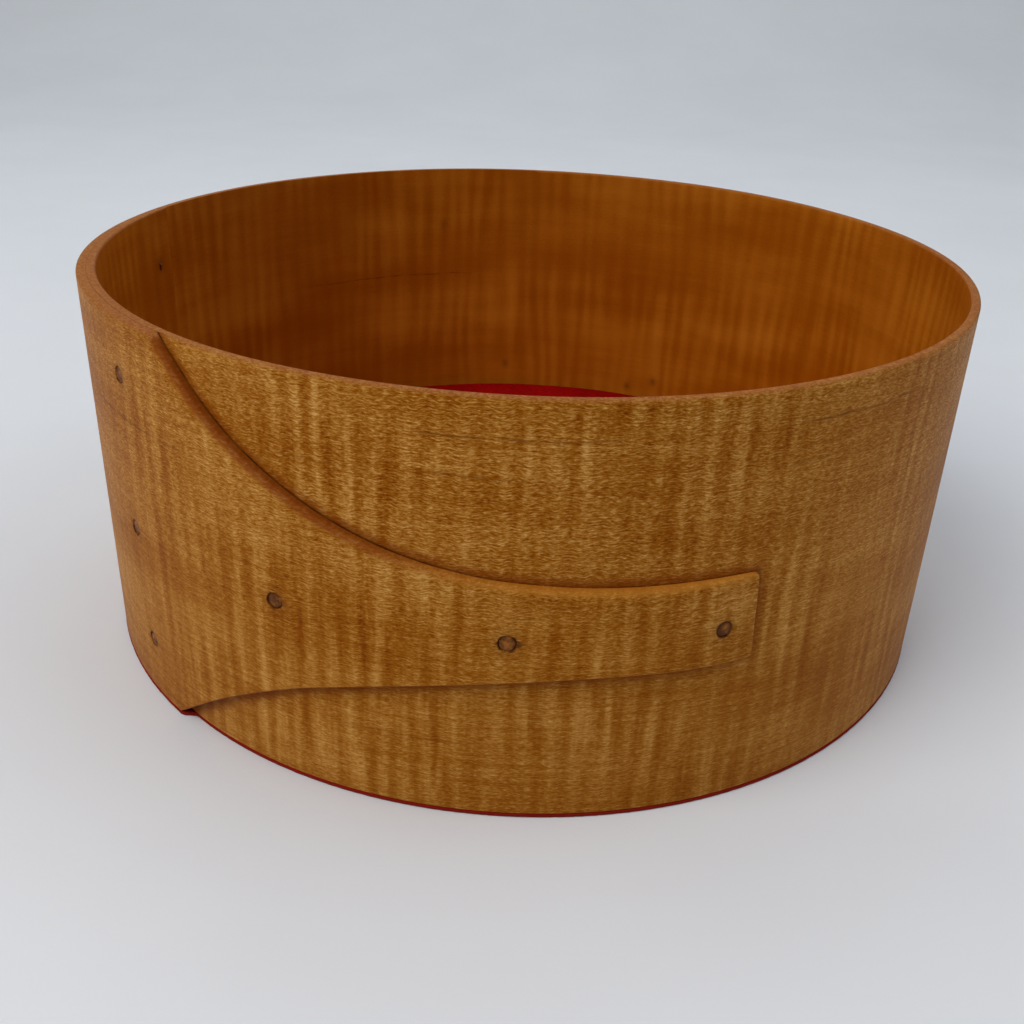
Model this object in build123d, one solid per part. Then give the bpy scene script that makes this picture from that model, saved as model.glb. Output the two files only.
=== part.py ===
from build123d import *
import os
from math import cos, degrees, radians, sin

# A round bentwood open box in the Shaker manner. One steamed hardwood strip is wrapped round a turned
# base, its outer end is cut to a single swallowtail finger that laps over the front, and copper tacks
# are driven through both layers and clinched inside. Felt lines the floor and the foot.
#
# Frame: millimetres, +Z up. The origin is on the axis of the inside wall, on the surface the box stands
# on. Directions round the wall are angles in degrees from the front (-Y), growing towards +X. The strip
# starts on the left at the back, runs once round by the front, and ends on top of its own beginning.

# Overall sizes
OUTER_DIAMETER = 177.8
TOTAL_HEIGHT = 76.2
STRIP_THICKNESS = 1.75
GLUE_LINE = 0.08
RIM_EASING = 0.45
SPARE_ANGLE = 1.0

# Base and felts
FOOT_FELT_THICKNESS = 0.85
FOOT_FELT_PROUD = 0.15
BASE_THICKNESS = 10.75
BASE_GLUE_LINE = 0.05
FLOOR_FELT_THICKNESS = 1.4
FLOOR_FELT_CLEARANCE = 0.5

# Plan of the strip: the feathered inner end, and the stretch over which the lap climbs on to it
INNER_END = -104.0
CLIMB_START = -122.0
CLIMB_END = -66.0
CLIMB_STATIONS = 9
FINGER_ROOT = -48.0
FULL_TURN = 360.0

# Swallowtail finger on the lap's outer face: distance along the strip from the front, and height
FINGER_UPPER_EDGE = [
    (-65.4, TOTAL_HEIGHT),
    (-53.2, 65.4),
    (-38.3, 56.4),
    (-23.1, 50.4),
    (-7.9, 47.1),
    (7.4, 45.8),
    (39.6, 45.6),
]
FINGER_LOWER_EDGE = [
    (-69.6, FOOT_FELT_THICKNESS),
    (-53.4, 12.1),
    (-38.4, 20.0),
    (-23.2, 24.9),
    (-7.9, 28.0),
    (7.4, 29.7),
    (40.3, 29.7),
]
FINGER_BEVEL = 0.6
TIP_THINNING = 1.0
TIP_THINNING_ANGLE = 14.0

# Copper tacks
HEAD_DIAMETER = 2.85
HEAD_THICKNESS = 0.5
HEAD_CROWN = 0.12
HEAD_SUNK = 0.12
HEAD_POCKET_MARGIN = 0.1
SHANK_WIDTH = 1.1
SHANK_TIP_WIDTH = 0.7
PILOT_DIAMETER = 1.6
CLINCH_LENGTH = 1.6
CLINCH_HEIGHT = 0.4

# Tack places: angle, height
TACKS = {
    "finger_tack_tip": (21.5, 36.5),
    "finger_tack_middle": (-0.9, 36.4),
    "finger_tack_root": (-25.7, 36.7),
    "lap_tack_top": (-49.2, 65.8),
    "lap_tack_middle": (-50.2, 36.1),
    "lap_tack_bottom": (-49.2, 12.8),
    "end_tack_top": (-100.8, 64.4),
    "end_tack_middle": (-100.8, 36.1),
    "end_tack_bottom": (-100.8, 12.8),
}

# Worked out from the sizes above
WALL_OUTER = OUTER_DIAMETER / 2
WALL_INNER = WALL_OUTER - STRIP_THICKNESS
LAP_INNER = WALL_OUTER + GLUE_LINE
LAP_OUTER = LAP_INNER + STRIP_THICKNESS
LAP_STEP = LAP_OUTER - WALL_OUTER
STRIP_HEIGHT = TOTAL_HEIGHT - FOOT_FELT_THICKNESS
BASE_TOP = FOOT_FELT_THICKNESS + BASE_THICKNESS
FINGER_TIP_LENGTH = max(FINGER_UPPER_EDGE[-1][0], FINGER_LOWER_EDGE[-1][0])
FINGER_TIP_ANGLE = degrees(FINGER_TIP_LENGTH / LAP_OUTER)
HEAD_RADIUS = HEAD_DIAMETER / 2


def at(radius, angle):
    """The point at an angle round the wall."""
    return Vector(radius * sin(radians(angle)), -radius * cos(radians(angle)))


def along(angle):
    """The direction in which the angle grows."""
    return Vector(cos(radians(angle)), sin(radians(angle)))


def climb(angle):
    """How far the lap stands out over the feathered inner end: nothing, rising to one whole layer."""
    share = (angle - CLIMB_START) / (CLIMB_END - CLIMB_START)
    share = min(max(share, 0.0), 1.0)
    return LAP_STEP * share * share * (3 - 2 * share)


def lap_surface(angle):
    """The radius of the outer face where a tack goes in."""
    thinned_from = FINGER_TIP_ANGLE - TIP_THINNING_ANGLE
    share = max(0.0, (angle - thinned_from) / TIP_THINNING_ANGLE)
    return WALL_OUTER + climb(angle) - TIP_THINNING * share * share


def round_arc(radius, start, end):
    return ThreePointArc(at(radius, start), at(radius, (start + end) / 2), at(radius, end))


def climbing_curve(radius, start, end):
    """A curve along the climb that would lie on radius if the lap didn't stand out."""
    step = (end - start) / (CLIMB_STATIONS - 1)
    angles = [start + step * station for station in range(CLIMB_STATIONS)]
    return Spline(*[at(radius + climb(angle), angle) for angle in angles])


def strip_plan():
    """The plan of the full-height strip: a spiral whose inner end is feathered under the lap."""
    first_turn_end = CLIMB_START + FULL_TURN
    feather_face = WALL_INNER - GLUE_LINE
    lap_inner_end = at(LAP_INNER, FINGER_ROOT)
    lap_outer_end = at(LAP_OUTER, FINGER_ROOT)
    inner_end_outside = at(feather_face + climb(INNER_END), INNER_END)
    edges = [
        round_arc(WALL_INNER, INNER_END, first_turn_end),
        climbing_curve(WALL_INNER, CLIMB_START, CLIMB_END),
        round_arc(LAP_INNER, CLIMB_END, FINGER_ROOT),
        Line(lap_inner_end, lap_outer_end),
        round_arc(LAP_OUTER, FINGER_ROOT, CLIMB_END),
        climbing_curve(WALL_OUTER, CLIMB_END, CLIMB_START),
        round_arc(WALL_OUTER, first_turn_end, CLIMB_END),
        climbing_curve(feather_face, CLIMB_END, INNER_END),
        Line(inner_end_outside, at(WALL_INNER, INNER_END)),
    ]
    return make_face(edges)


def wound_strip():
    plan = Pos(0, 0, FOOT_FELT_THICKNESS) * strip_plan()
    return extrude(plan, STRIP_HEIGHT)


def seen_from_front(point):
    """A place on the finger, given along the strip and up, as seen square on from the front."""
    length, height = point
    return LAP_INNER * sin(length / LAP_OUTER), height


def finger_outline():
    upper = [seen_from_front(point) for point in FINGER_UPPER_EDGE]
    lower = [seen_from_front(point) for point in FINGER_LOWER_EDGE]
    root = at(LAP_INNER, FINGER_ROOT).X
    edges = [
        Line((root, FOOT_FELT_THICKNESS), lower[0]),
        Spline(*lower),
        Line(lower[-1], upper[-1]),
        Spline(*upper),
        Line(upper[0], (root, TOTAL_HEIGHT)),
        Line((root, TOTAL_HEIGHT), (root, FOOT_FELT_THICKNESS)),
    ]
    return Plane.XZ * make_face(edges)


def finger_envelope():
    """The space the finger stays within: its outer face dips where the tip is thinned."""
    past_tip = FINGER_TIP_ANGLE + SPARE_ANGLE
    before_root = FINGER_ROOT - SPARE_ANGLE
    dip_start = FINGER_TIP_ANGLE - TIP_THINNING_ANGLE
    inside = WALL_INNER
    thinned = LAP_OUTER - TIP_THINNING
    dip = Spline(
        at(LAP_OUTER, dip_start),
        at(thinned, past_tip),
        tangents=[along(dip_start), along(past_tip + TIP_THINNING_ANGLE / 2)],
    )
    edges = [
        round_arc(LAP_OUTER, before_root, dip_start),
        dip,
        Line(at(thinned, past_tip), at(inside, past_tip)),
        round_arc(inside, past_tip, before_root),
        Line(at(inside, before_root), at(LAP_OUTER, before_root)),
    ]
    return extrude(make_face(edges), 2 * TOTAL_HEIGHT)


def finger():
    """The outline on the lap's inner face, thickened outwards, which leaves its sides radial."""
    past_tip = FINGER_TIP_ANGLE + SPARE_ANGLE
    lap_face = Face.extrude(round_arc(LAP_INNER, FINGER_ROOT, past_tip), (0, 0, TOTAL_HEIGHT))
    in_front = extrude(finger_outline(), 2 * LAP_OUTER)
    patch = lap_face & in_front
    return Solid.thicken(patch, -STRIP_THICKNESS) & finger_envelope()


def is_finger_edge(edge):
    """The edges of the finger's outer face: both long curves and the tip."""
    middle = edge.position_at(0.5)
    radius = (middle.X**2 + middle.Y**2) ** 0.5
    outside = radius > LAP_OUTER - TIP_THINNING
    past_root = middle.X > at(LAP_OUTER, FINGER_ROOT).X and middle.Y < 0
    level = edge.bounding_box().size.Z < RIM_EASING
    at_rim = min(middle.Z - FOOT_FELT_THICKNESS, TOTAL_HEIGHT - middle.Z) < RIM_EASING
    return outside and past_root and not (level and at_rim)


def tack_plane(angle, height):
    """Where a tack goes in: X round the wall, Y up and Z outwards."""
    place = at(lap_surface(angle), angle)
    return Plane(origin=(place.X, place.Y, height), x_dir=along(angle), z_dir=at(1, angle))


def tack_pocket(angle, height):
    """The shallow pocket that the head beds into, and the pilot hole for the shank."""
    depth = HEAD_SUNK + HEAD_THICKNESS
    through = LAP_OUTER - WALL_INNER + PILOT_DIAMETER
    align = (Align.CENTER, Align.CENTER, Align.MAX)
    seat = Pos(0, 0, depth) * Cylinder(HEAD_RADIUS + HEAD_POCKET_MARGIN, 2 * depth, align=align)
    pilot = Cylinder(PILOT_DIAMETER / 2, through, align=align)
    return tack_plane(angle, height) * (seat + pilot)


def tack_head():
    axis = Line((0, HEAD_CROWN), (0, -HEAD_THICKNESS))
    under = Line((0, -HEAD_THICKNESS), (HEAD_RADIUS, -HEAD_THICKNESS))
    edge = Line((HEAD_RADIUS, -HEAD_THICKNESS), (HEAD_RADIUS, 0))
    crown = TangentArc((0, HEAD_CROWN), (HEAD_RADIUS, 0), tangent=(1, 0))
    profile = Plane.XZ * make_face([axis, under, edge, crown])
    return Pos(0, 0, -HEAD_SUNK) * revolve(profile, Axis.Z)


def tack(angle, height):
    """A copper tack: crowned head, tapered square shank, and a tip clinched on the inside wall."""
    wall = lap_surface(angle) - WALL_INNER
    shank_start = -HEAD_SUNK - HEAD_THICKNESS
    shank_end = -wall - CLINCH_HEIGHT
    tip_width = SHANK_TIP_WIDTH
    shank = loft([
        Pos(0, 0, shank_start) * Rectangle(SHANK_WIDTH, SHANK_WIDTH),
        Pos(0, 0, shank_end) * Rectangle(tip_width, tip_width),
    ])
    turn = 1 if height < BASE_TOP + CLINCH_LENGTH + SHANK_WIDTH else -1
    root_middle = (0, 0, -wall - CLINCH_HEIGHT / 2)
    tip_middle = (0, turn * CLINCH_LENGTH, -wall - CLINCH_HEIGHT / 4)
    root = Plane(origin=root_middle, x_dir=(1, 0, 0), z_dir=(0, turn, 0))
    tip = Plane(origin=tip_middle, x_dir=(1, 0, 0), z_dir=(0, turn, 0))
    clinch = loft([
        root * Rectangle(tip_width, CLINCH_HEIGHT),
        tip * Rectangle(tip_width / 3, CLINCH_HEIGHT / 3),
    ])
    return tack_plane(angle, height) * (tack_head() + shank + clinch)


def inner_rim_easing():
    """The ring of wood worn away along the inside of the rim."""
    corner = (WALL_INNER, TOTAL_HEIGHT)
    outside = Line((WALL_INNER + RIM_EASING, TOTAL_HEIGHT), corner)
    inside = Line(corner, (WALL_INNER, TOTAL_HEIGHT - RIM_EASING))
    centre = (WALL_INNER + RIM_EASING, TOTAL_HEIGHT - RIM_EASING)
    rounding = CenterArc(centre, RIM_EASING, 90, 90)
    return revolve(Plane.XZ * make_face([outside, inside, rounding]), Axis.Z)


def band():
    """The wound strip with its finger, edges eased, and a pocket and pilot hole for every tack."""
    strip = (wound_strip() + finger()).solid()
    strip = chamfer(strip.edges().filter_by(is_finger_edge), FINGER_BEVEL)
    rim = strip.edges().filter_by_position(Axis.Z, TOTAL_HEIGHT, TOTAL_HEIGHT)
    outer_circle = rim.sort_by(SortBy.LENGTH)[-2]
    strip = fillet([outer_circle], RIM_EASING)
    strip -= inner_rim_easing()
    for angle, height in TACKS.values():
        strip -= tack_pocket(angle, height)
    return strip


def foot_felt():
    """Felt under the whole foot, trimmed to the band with its step at the lap, a little proud."""
    notch = degrees(FINGER_LOWER_EDGE[0][0] / LAP_OUTER)
    wall_edge = WALL_OUTER + FOOT_FELT_PROUD
    lap_edge = LAP_OUTER + FOOT_FELT_PROUD
    edges = [
        round_arc(wall_edge, notch, CLIMB_START + FULL_TURN),
        climbing_curve(wall_edge, CLIMB_START, CLIMB_END),
        round_arc(lap_edge, CLIMB_END, notch),
        Line(at(lap_edge, notch), at(wall_edge, notch)),
    ]
    return extrude(make_face(edges), FOOT_FELT_THICKNESS)


def disc(radius, bottom, thickness):
    align = (Align.CENTER, Align.CENTER, Align.MIN)
    return Pos(0, 0, bottom) * Cylinder(radius, thickness, align=align)


def parts():
    pieces = {
        "band": band(),
        "base_disc": disc(WALL_INNER - BASE_GLUE_LINE, FOOT_FELT_THICKNESS, BASE_THICKNESS),
        "floor_felt": disc(WALL_INNER - FLOOR_FELT_CLEARANCE, BASE_TOP, FLOOR_FELT_THICKNESS),
        "foot_felt": foot_felt(),
    }
    for name, place in TACKS.items():
        pieces[name] = tack(*place)
    return pieces


os.makedirs("parts", exist_ok=True)
for name, piece in parts().items():
    export_step(piece, f"parts/{name}.step")
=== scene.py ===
import math
import random

import bpy
import numpy as np
from mathutils import Matrix, Vector, noise


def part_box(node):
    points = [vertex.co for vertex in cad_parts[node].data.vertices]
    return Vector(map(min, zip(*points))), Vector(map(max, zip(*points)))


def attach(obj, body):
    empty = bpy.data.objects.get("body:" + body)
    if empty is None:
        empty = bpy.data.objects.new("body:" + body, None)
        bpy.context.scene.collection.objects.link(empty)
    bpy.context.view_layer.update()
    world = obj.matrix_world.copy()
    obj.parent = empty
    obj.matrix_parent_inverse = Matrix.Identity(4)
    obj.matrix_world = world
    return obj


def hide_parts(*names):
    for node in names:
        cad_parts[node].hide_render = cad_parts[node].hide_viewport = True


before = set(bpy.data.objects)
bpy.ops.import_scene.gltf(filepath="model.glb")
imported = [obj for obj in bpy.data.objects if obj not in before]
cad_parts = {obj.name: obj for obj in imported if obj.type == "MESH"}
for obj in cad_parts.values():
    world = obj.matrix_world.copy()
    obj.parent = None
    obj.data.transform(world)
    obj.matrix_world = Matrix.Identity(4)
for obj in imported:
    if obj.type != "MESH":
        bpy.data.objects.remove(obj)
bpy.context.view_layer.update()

# A round bentwood box with one swallowtail finger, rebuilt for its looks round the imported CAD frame.
# Metres, +Z up, origin on the axis of the inside wall at the surface the box stands on. Directions round
# the wall are angles in degrees from the front (-Y), growing towards +X.

MM = 0.001

# Read from the frame
FOOT_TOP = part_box("foot_felt")[1].z
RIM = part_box("band")[1].z
WALL_OUTER = 0.5 * (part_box("band")[1].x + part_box("band")[1].y)
FLOOR_FELT_LOW, FLOOR_FELT_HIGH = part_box("floor_felt")

# The strip, as the CAD has it
STRIP_THICKNESS = 1.75 * MM
GLUE_LINE = 0.08 * MM
INNER_END = -104.0
CLIMB_START = -122.0
CLIMB_END = -66.0
FULL_TURN = 360.0
FAR = 30 * MM
WALL_INNER = WALL_OUTER - STRIP_THICKNESS
LAP_STEP = STRIP_THICKNESS + GLUE_LINE
LAP_OUTER = WALL_OUTER + LAP_STEP

# The swallowtail finger on the lap's outer face: distance along the strip from the front, and height
FINGER_UPPER_EDGE = [
    (-65.4, 76.2), (-53.2, 65.4), (-38.3, 56.4), (-23.1, 50.4), (-7.9, 47.1), (7.4, 45.8), (39.6, 45.6),
]
FINGER_LOWER_EDGE = [
    (-69.6, 0.85), (-53.4, 12.1), (-38.4, 20.0), (-23.2, 24.9), (-7.9, 28.0), (7.4, 29.7), (40.3, 29.7),
]
TIP_THINNING = 1.0 * MM
TIP_THINNING_ANGLE = 14.0
TIP_LENGTH = 40.1 * MM
TIP_CORNER = 0.9 * MM
TIP_EASING = 0.3 * MM
TIP_SLANT = -0.7 * MM

# Wear and small unevenness
RIM_EASING = 0.5 * MM
FOOT_EASING = 0.2 * MM
SEAM_EASING = 0.03 * MM
SEAM_CLOSED = 0.06 * MM
BEVEL_DEPTH = 0.9 * MM
BEVEL_WIDTH = 1.5 * MM
LOWER_BEVEL = 0.35 * MM
OUT_OF_ROUND = 0.3 * MM
RIM_UNEVEN = 0.18 * MM

# Mesh of the strip
COLUMN_STEP = 0.78
FINE_COLUMN_STEP = 0.52
OUTER_ROWS = 58
INNER_ROWS = 30
CORNER_POINTS = 4
EDGE_POINTS = 2
SHARP_ANGLE = math.radians(40)

# Tacks
TACK_NAMES = [name for name in sorted(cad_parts) if "_tack_" in name]
HEAD_RADIUS = 1.425 * MM
HEAD_SUNK = 0.12 * MM
HEAD_CROWN = 0.12 * MM
HEAD_THICKNESS = 0.5 * MM
HEAD_BLOWS = 0.02 * MM
HEAD_SEGMENTS = 40
SHANK_HALF = 0.55 * MM
TIP_HALF = 0.35 * MM
CLINCH_LENGTH = 1.6 * MM
CLINCH_HALF = 0.2 * MM
CLINCH_BEND = 0.35 * MM
CLINCH_RISE = 0.1 * MM
POCKET_WINDOW = 2.5 * MM
POCKET_DEPTH = 0.6 * MM
POCKET_RINGS = [
    (2.15 * MM, 0.0),
    (1.85 * MM, 0.0),
    (1.64 * MM, 0.0),
    (1.54 * MM, 0.03 * MM),
    (1.48 * MM, 0.12 * MM),
    (1.47 * MM, POCKET_DEPTH),
]
TARNISH = {"finger_tack_tip": 0.16, "finger_tack_middle": -0.02, "finger_tack_root": 0.06}
USUAL_TARNISH = 0.02
DIMPLE_DEPTH = 0.1 * MM
DIMPLE_REACH = 1.5 * MM
BOTTOM_TACKS_BELOW = 20 * MM

# Felt
FELT_SEGMENTS = 720
FELT_RINGS = 24
FELT_FRAY = 0.12 * MM
FELT_UNEVENNESS = 0.25 * MM
FELT_PROUD = 0.12 * MM
FELT_CORNER = 0.45
FELT_NOTCH = 1.8

# Wood figure: the size of each noise's grains along the strip, up it and through it, in millimetres
GRAIN = {
    "sway": (15, 60, 100),
    "ply": (1.9, 24, 100),
    "broad": (9, 70, 100),
    "strength": (22, 24, 100),
    "jitter": (0.9, 0.5, 1),
    "flecks": (1.15, 0.26, 0.9),
    "grit": (0.45, 0.15, 0.5),
    "streaks": (9, 0.5, 2),
    "growth": (40, 1.3, 100),
    "cloud": (45, 14, 100),
    "blotch": (3, 3, 3),
    "ragged": (1.2, 0.6, 3),
    "patchy": (1.5, 1.5, 100),
}
CURL_PERIOD = 4.6 * MM
CURL_SWAY = 2.2
# How far each part of the figure moves the tone, and what is left of that on the inside wall
WAVE_SHARE = 0.094
PLY_SHARE, PLY_INSIDE = 0.81, 0.3
BROAD_SHARE, BROAD_INSIDE = 0.26, 1.8
CURL_INSIDE = 0.9
FLECK_SHARE, GRIT_SHARE, FINE_INSIDE = 1.7, 0.7, 0.15
GROWTH_SHARE, STREAK_SHARE, STREAKS_INSIDE = 0.22, 0.4, 0.2
CLOUD_SHARE = 0.5
# The figure is strongest about the front, and its flecks towards the rim
TURN_LENGTH = 2 * math.pi * WALL_OUTER
FIGURE_MIDDLE = -5 * MM
FIGURE_REACH = 60 * MM
FIGURE_AWAY = 0.6
FLECKS_LOW = 0.62

# Mineral lines: start and end along the strip, height and half width in millimetres, and strength
MINERAL_LINES = [
    (-16, 14, 69.7, 0.18, 0.75),
    (45, 70, 70.3, 0.24, 0.9),
    (41, 56, 63.4, 0.18, 0.6),
    (-38, -26, 62.6, 0.2, 0.6),
    (-16, -2, 63.6, 0.16, 0.6),
    (-30, -5, 15.0, 0.15, 0.5),
    (300, 345, 47.0, 0.18, 0.7),
    (470, 500, 58.0, 0.2, 0.6),
]
LINE_FADE = 6
LINE_WANDER = 1.6 * MM
# Pin knots on the inside wall: angle in degrees, height and size in millimetres, and strength
PIN_KNOTS = [
    (197.2, 61.1, 1.2, 0.3),
    (184.7, 19.0, 1.0, 0.4),
    (160.0, 15.2, 1.0, 0.45),
    (154.8, 18.0, 1.1, 0.5),
]
CLINCH_STAIN_REACH = 1.8 * MM

# Stains and painted shade at the finger: its bevel is red towards the root, the wall is stained just
# outside its upper edge, and a painted shadow lies under its lower edge
BEVEL_RED_UNTIL = TURN_LENGTH + 4 * MM
BEVEL_RED_FROM = TURN_LENGTH - 32 * MM
ABOVE_FINGER = (36 * MM, 40 * MM)
STAIN_REACH = (0.9 * MM, 2.1 * MM)
# How far the painted shadow under the finger's lower edge reaches
SHADE_REACH = (1.2 * MM, 2.9 * MM)
STAIN_RAGGED = 1.6 * MM
# The crevice line along the finger is partly finish caught there and partly painted shade
CREVICE_REACH = 0.32 * MM

# Stains at the tacks, and painted shade in the gap round each head
RING_RADIUS = 1.5 * MM
RING_REACH = 0.24 * MM
HALO_REACH = 2.2 * MM
SPLIT_OFFSET = 0.35 * MM
SPLIT_HALF_LENGTH = 2.9 * MM
SPLIT_HALF_HEIGHT = 1.75 * MM
SPLIT_WITHIN = 4 * MM
DEEPEST_SPLIT = "finger_tack_middle"
DEEPEST_REACH = 8 * MM

# Colours, linear
WOOD_TONES = [
    (0.00, (0.170, 0.030, 0.0002)),
    (0.14, (0.227, 0.050, 0.0003)),
    (0.36, (0.308, 0.095, 0.0028)),
    (0.46, (0.345, 0.119, 0.0080)),
    (0.54, (0.402, 0.155, 0.0185)),
    (0.73, (0.516, 0.235, 0.0450)),
    (1.00, (0.700, 0.385, 0.1100)),
]
WOOD_SPECULAR = 0.04
INSIDE_TINT = (1.10, 0.80, 0.22)
EDGE_ORANGE = (0.47, 0.180, 0.022)
EDGE_SCUFFED = (0.62, 0.290, 0.060)
EDGE_RED = (0.235, 0.052, 0.008)
# EDGE_DARK also colours the stain above the finger and the painted shadow under it
EDGE_DARK = (0.235, 0.045, 0.0015)
# CREVICE: the crevice line along the finger, partly finish caught there and partly painted shade
CREVICE = (0.035, 0.009, 0.003)
# Stain colour at the tacks, also used for the painted shade round each head
TACK_STAIN_AND_SHADE = (0.065, 0.015, 0.004)
MINERAL = (0.10, 0.024, 0.002)
KNOT = (0.06, 0.014, 0.004)
RIM_COLOUR = (0.40, 0.17, 0.05)
COPPER_DARK = (0.11, 0.033, 0.006)
COPPER_BRIGHT = (0.38, 0.130, 0.022)
FELT_DARK = (0.14, 0.0006, 0.0008)
FELT_RED = (0.35, 0.0012, 0.0016)
FELT_LIGHT = (0.52, 0.008, 0.006)
FELT_PRESSED_AND_SHADED = (0.17, 0.026, 0.014)
BASE_DARK = (0.36, 0.19, 0.075)
BASE_LIGHT = (0.60, 0.38, 0.18)

# Stage, lights, room and camera, in metres, watts and degrees
TABLE_LIGHT = (0.855, 0.885, 0.918)
TABLE_DARK = (0.82, 0.848, 0.88)
FLOOR_REACH = 2.5
SWEEP_START = 0.7
SWEEP_RADIUS = 0.8
SWEEP_ANGLE = 78
SWEEP_POINTS = 24
# Each softbox: name, place, what it points at, size, power and colour
SOFTBOXES = [
    ("key", (-0.66, -0.62, 1.0), (0, 0, 0.03), 0.9, 9.45, (1.0, 0.98, 0.955)),
    ("wall", (0, 0.5, 1.0), (0, 1.4, 0.3), 0.9, 2.2, (0.92, 0.98, 1.0)),
    ("fill", (0.9, -0.2, 1.0), (0, 0, 0.03), 1.0, 2.75, (0.97, 0.98, 1.0)),
]
ROOM_FRONT = (0.10, 0.10, 0.11)
ROOM_BACK = (0.93, 0.97, 1.03)
ROOM_STRENGTH = 0.85
ROOM_BLEND = (-0.5, 0.7)
CAMERA_BACK = 0.23213
CAMERA_HEIGHT = 0.13195
CAMERA_YAW = 0.532
CAMERA_PITCH = 5.155
CAMERA_ROLL = -2.485
LENS = 38.71
SENSOR_WIDTH = 36.0
NEAREST = 0.01
FARTHEST = 20


def add_object(name, data):
    """A new object in the scene."""
    made = bpy.data.objects.new(name, data)
    bpy.context.scene.collection.objects.link(made)
    return made


def smoothstep(low, high, value):
    share = np.clip((value - low) / (high - low), 0.0, 1.0)
    return share * share * (3 - 2 * share)


def smooth_through(points):
    """A smooth curve through a few points, as a function: cubics with slopes from the neighbours."""
    x, y = np.array(points, float).T * MM
    chords = np.diff(y) / np.diff(x)
    slopes = np.empty(len(x))
    slopes[0], slopes[-1] = chords[0], 0.0
    widths = np.diff(x)
    slopes[1:-1] = (chords[:-1] * widths[1:] + chords[1:] * widths[:-1]) / (widths[1:] + widths[:-1])

    def curve(at):
        i = np.clip(np.searchsorted(x, at) - 1, 0, len(x) - 2)
        w = widths[i]
        t = (at - x[i]) / w
        lead = (1 + 2 * t) * (1 - t) ** 2 * y[i] + t * (1 - t) ** 2 * w * slopes[i]
        return lead + t * t * (3 - 2 * t) * y[i + 1] + t * t * (t - 1) * w * slopes[i + 1]

    return curve


UPPER_EDGE = smooth_through(FINGER_UPPER_EDGE)
LOWER_EDGE = smooth_through(FINGER_LOWER_EDGE)
UPPER_ROOT = FINGER_UPPER_EDGE[0][0] * MM
LOWER_ROOT = FINGER_LOWER_EDGE[0][0] * MM
TIP_ANGLE = math.degrees(TIP_LENGTH / LAP_OUTER)


def lap_length(angle):
    """Distance along the lap's outer face from the front, at an angle on the strip's second turn."""
    return np.radians(angle - FULL_TURN) * LAP_OUTER


def lap_angle(length):
    """The angle on the strip's second turn at a distance along the lap's outer face."""
    return FULL_TURN + np.degrees(length / LAP_OUTER)


def climb(angle):
    """How far the lap stands out over the strip's feathered inner end."""
    return LAP_STEP * smoothstep(CLIMB_START, CLIMB_END, angle)


def strip_radii(angle):
    """Inner and outer radius of the strip at an angle that keeps growing along it."""
    lap = angle - FULL_TURN
    on_top = angle > 0.5 * FULL_TURN
    inner = WALL_INNER + np.where(on_top, climb(lap) * (LAP_STEP - SEAM_CLOSED) / LAP_STEP, 0.0)
    feather = WALL_INNER - GLUE_LINE + climb(angle)
    first = np.where(angle < CLIMB_END, np.minimum(feather, WALL_OUTER), WALL_OUTER)
    dip = TIP_THINNING * np.clip((lap - TIP_ANGLE + TIP_THINNING_ANGLE) / TIP_THINNING_ANGLE, 0, 1) ** 2
    outer = np.where(on_top, WALL_OUTER + climb(lap) - dip, first)
    return inner, outer


def point_at(angle, radius, height):
    """Points of the wall, as arrays: it is a little out of round towards the rim, never outside."""
    a = np.radians(angle)
    freedom = smoothstep(0.2 * RIM, RIM, height)
    waves = 0.5 + 0.35 * np.sin(2 * a + 0.6) + 0.15 * np.sin(3 * a + 2.0)
    radius = radius - OUT_OF_ROUND * freedom * waves
    return np.stack([radius * np.sin(a), -radius * np.cos(a), height + 0 * a], axis=-1)


def strip_columns():
    """Angles of the mesh columns: closer together round the lap, and closest at the tip's end."""
    from_tip = np.array([0, 0.04, 0.12, 0.25, 0.42, 0.65, 0.95, 1.35, 1.85]) * MM
    tip = FULL_TURN + TIP_ANGLE
    near_tip = np.degrees(from_tip / LAP_OUTER)
    stops = [
        (INNER_END, CLIMB_END, COLUMN_STEP),
        (CLIMB_END, TIP_ANGLE + 3, FINE_COLUMN_STEP),
        (TIP_ANGLE + 3, FULL_TURN + INNER_END - 3, COLUMN_STEP),
    ]
    lap_stops = [FULL_TURN + INNER_END - 3, FULL_TURN + CLIMB_END, lap_angle(LOWER_ROOT)]
    lap_stops += [lap_angle(UPPER_ROOT), tip - near_tip[-1]]
    stops += [(start, end, FINE_COLUMN_STEP) for start, end in zip(lap_stops, lap_stops[1:])]
    angles = []
    for start, end, step in stops:
        count = max(2, round((end - start) / step))
        angles.extend(np.linspace(start, end, count, endpoint=False))
    return np.concatenate([angles, tip - near_tip[::-1]])


def crown_top(name):
    """The outermost point of a tack's head, from its CAD node: distance along the lap, and height."""
    points = [vertex.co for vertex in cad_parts[name].data.vertices]
    top = max(points, key=lambda point: math.hypot(point.x, point.y))
    return math.atan2(top.x, -top.y) * LAP_OUTER, top.z


TACK_PLACES = {name: crown_top(name) for name in TACK_NAMES}


def dimple(length, height):
    """How far each head has drawn the wood in round it."""
    depth = 0.0
    for tack_length, tack_height in TACK_PLACES.values():
        reach = ((length - tack_length) ** 2 + (height - tack_height) ** 2) / DIMPLE_REACH**2
        depth = depth + DIMPLE_DEPTH * np.exp(-reach)
    return depth


def rounded_end(distance, radius):
    """How far a rounded corner falls back at a distance from the end."""
    x = np.clip(radius - distance, 0.0, radius)
    return radius - np.sqrt(radius**2 - x**2)


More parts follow.
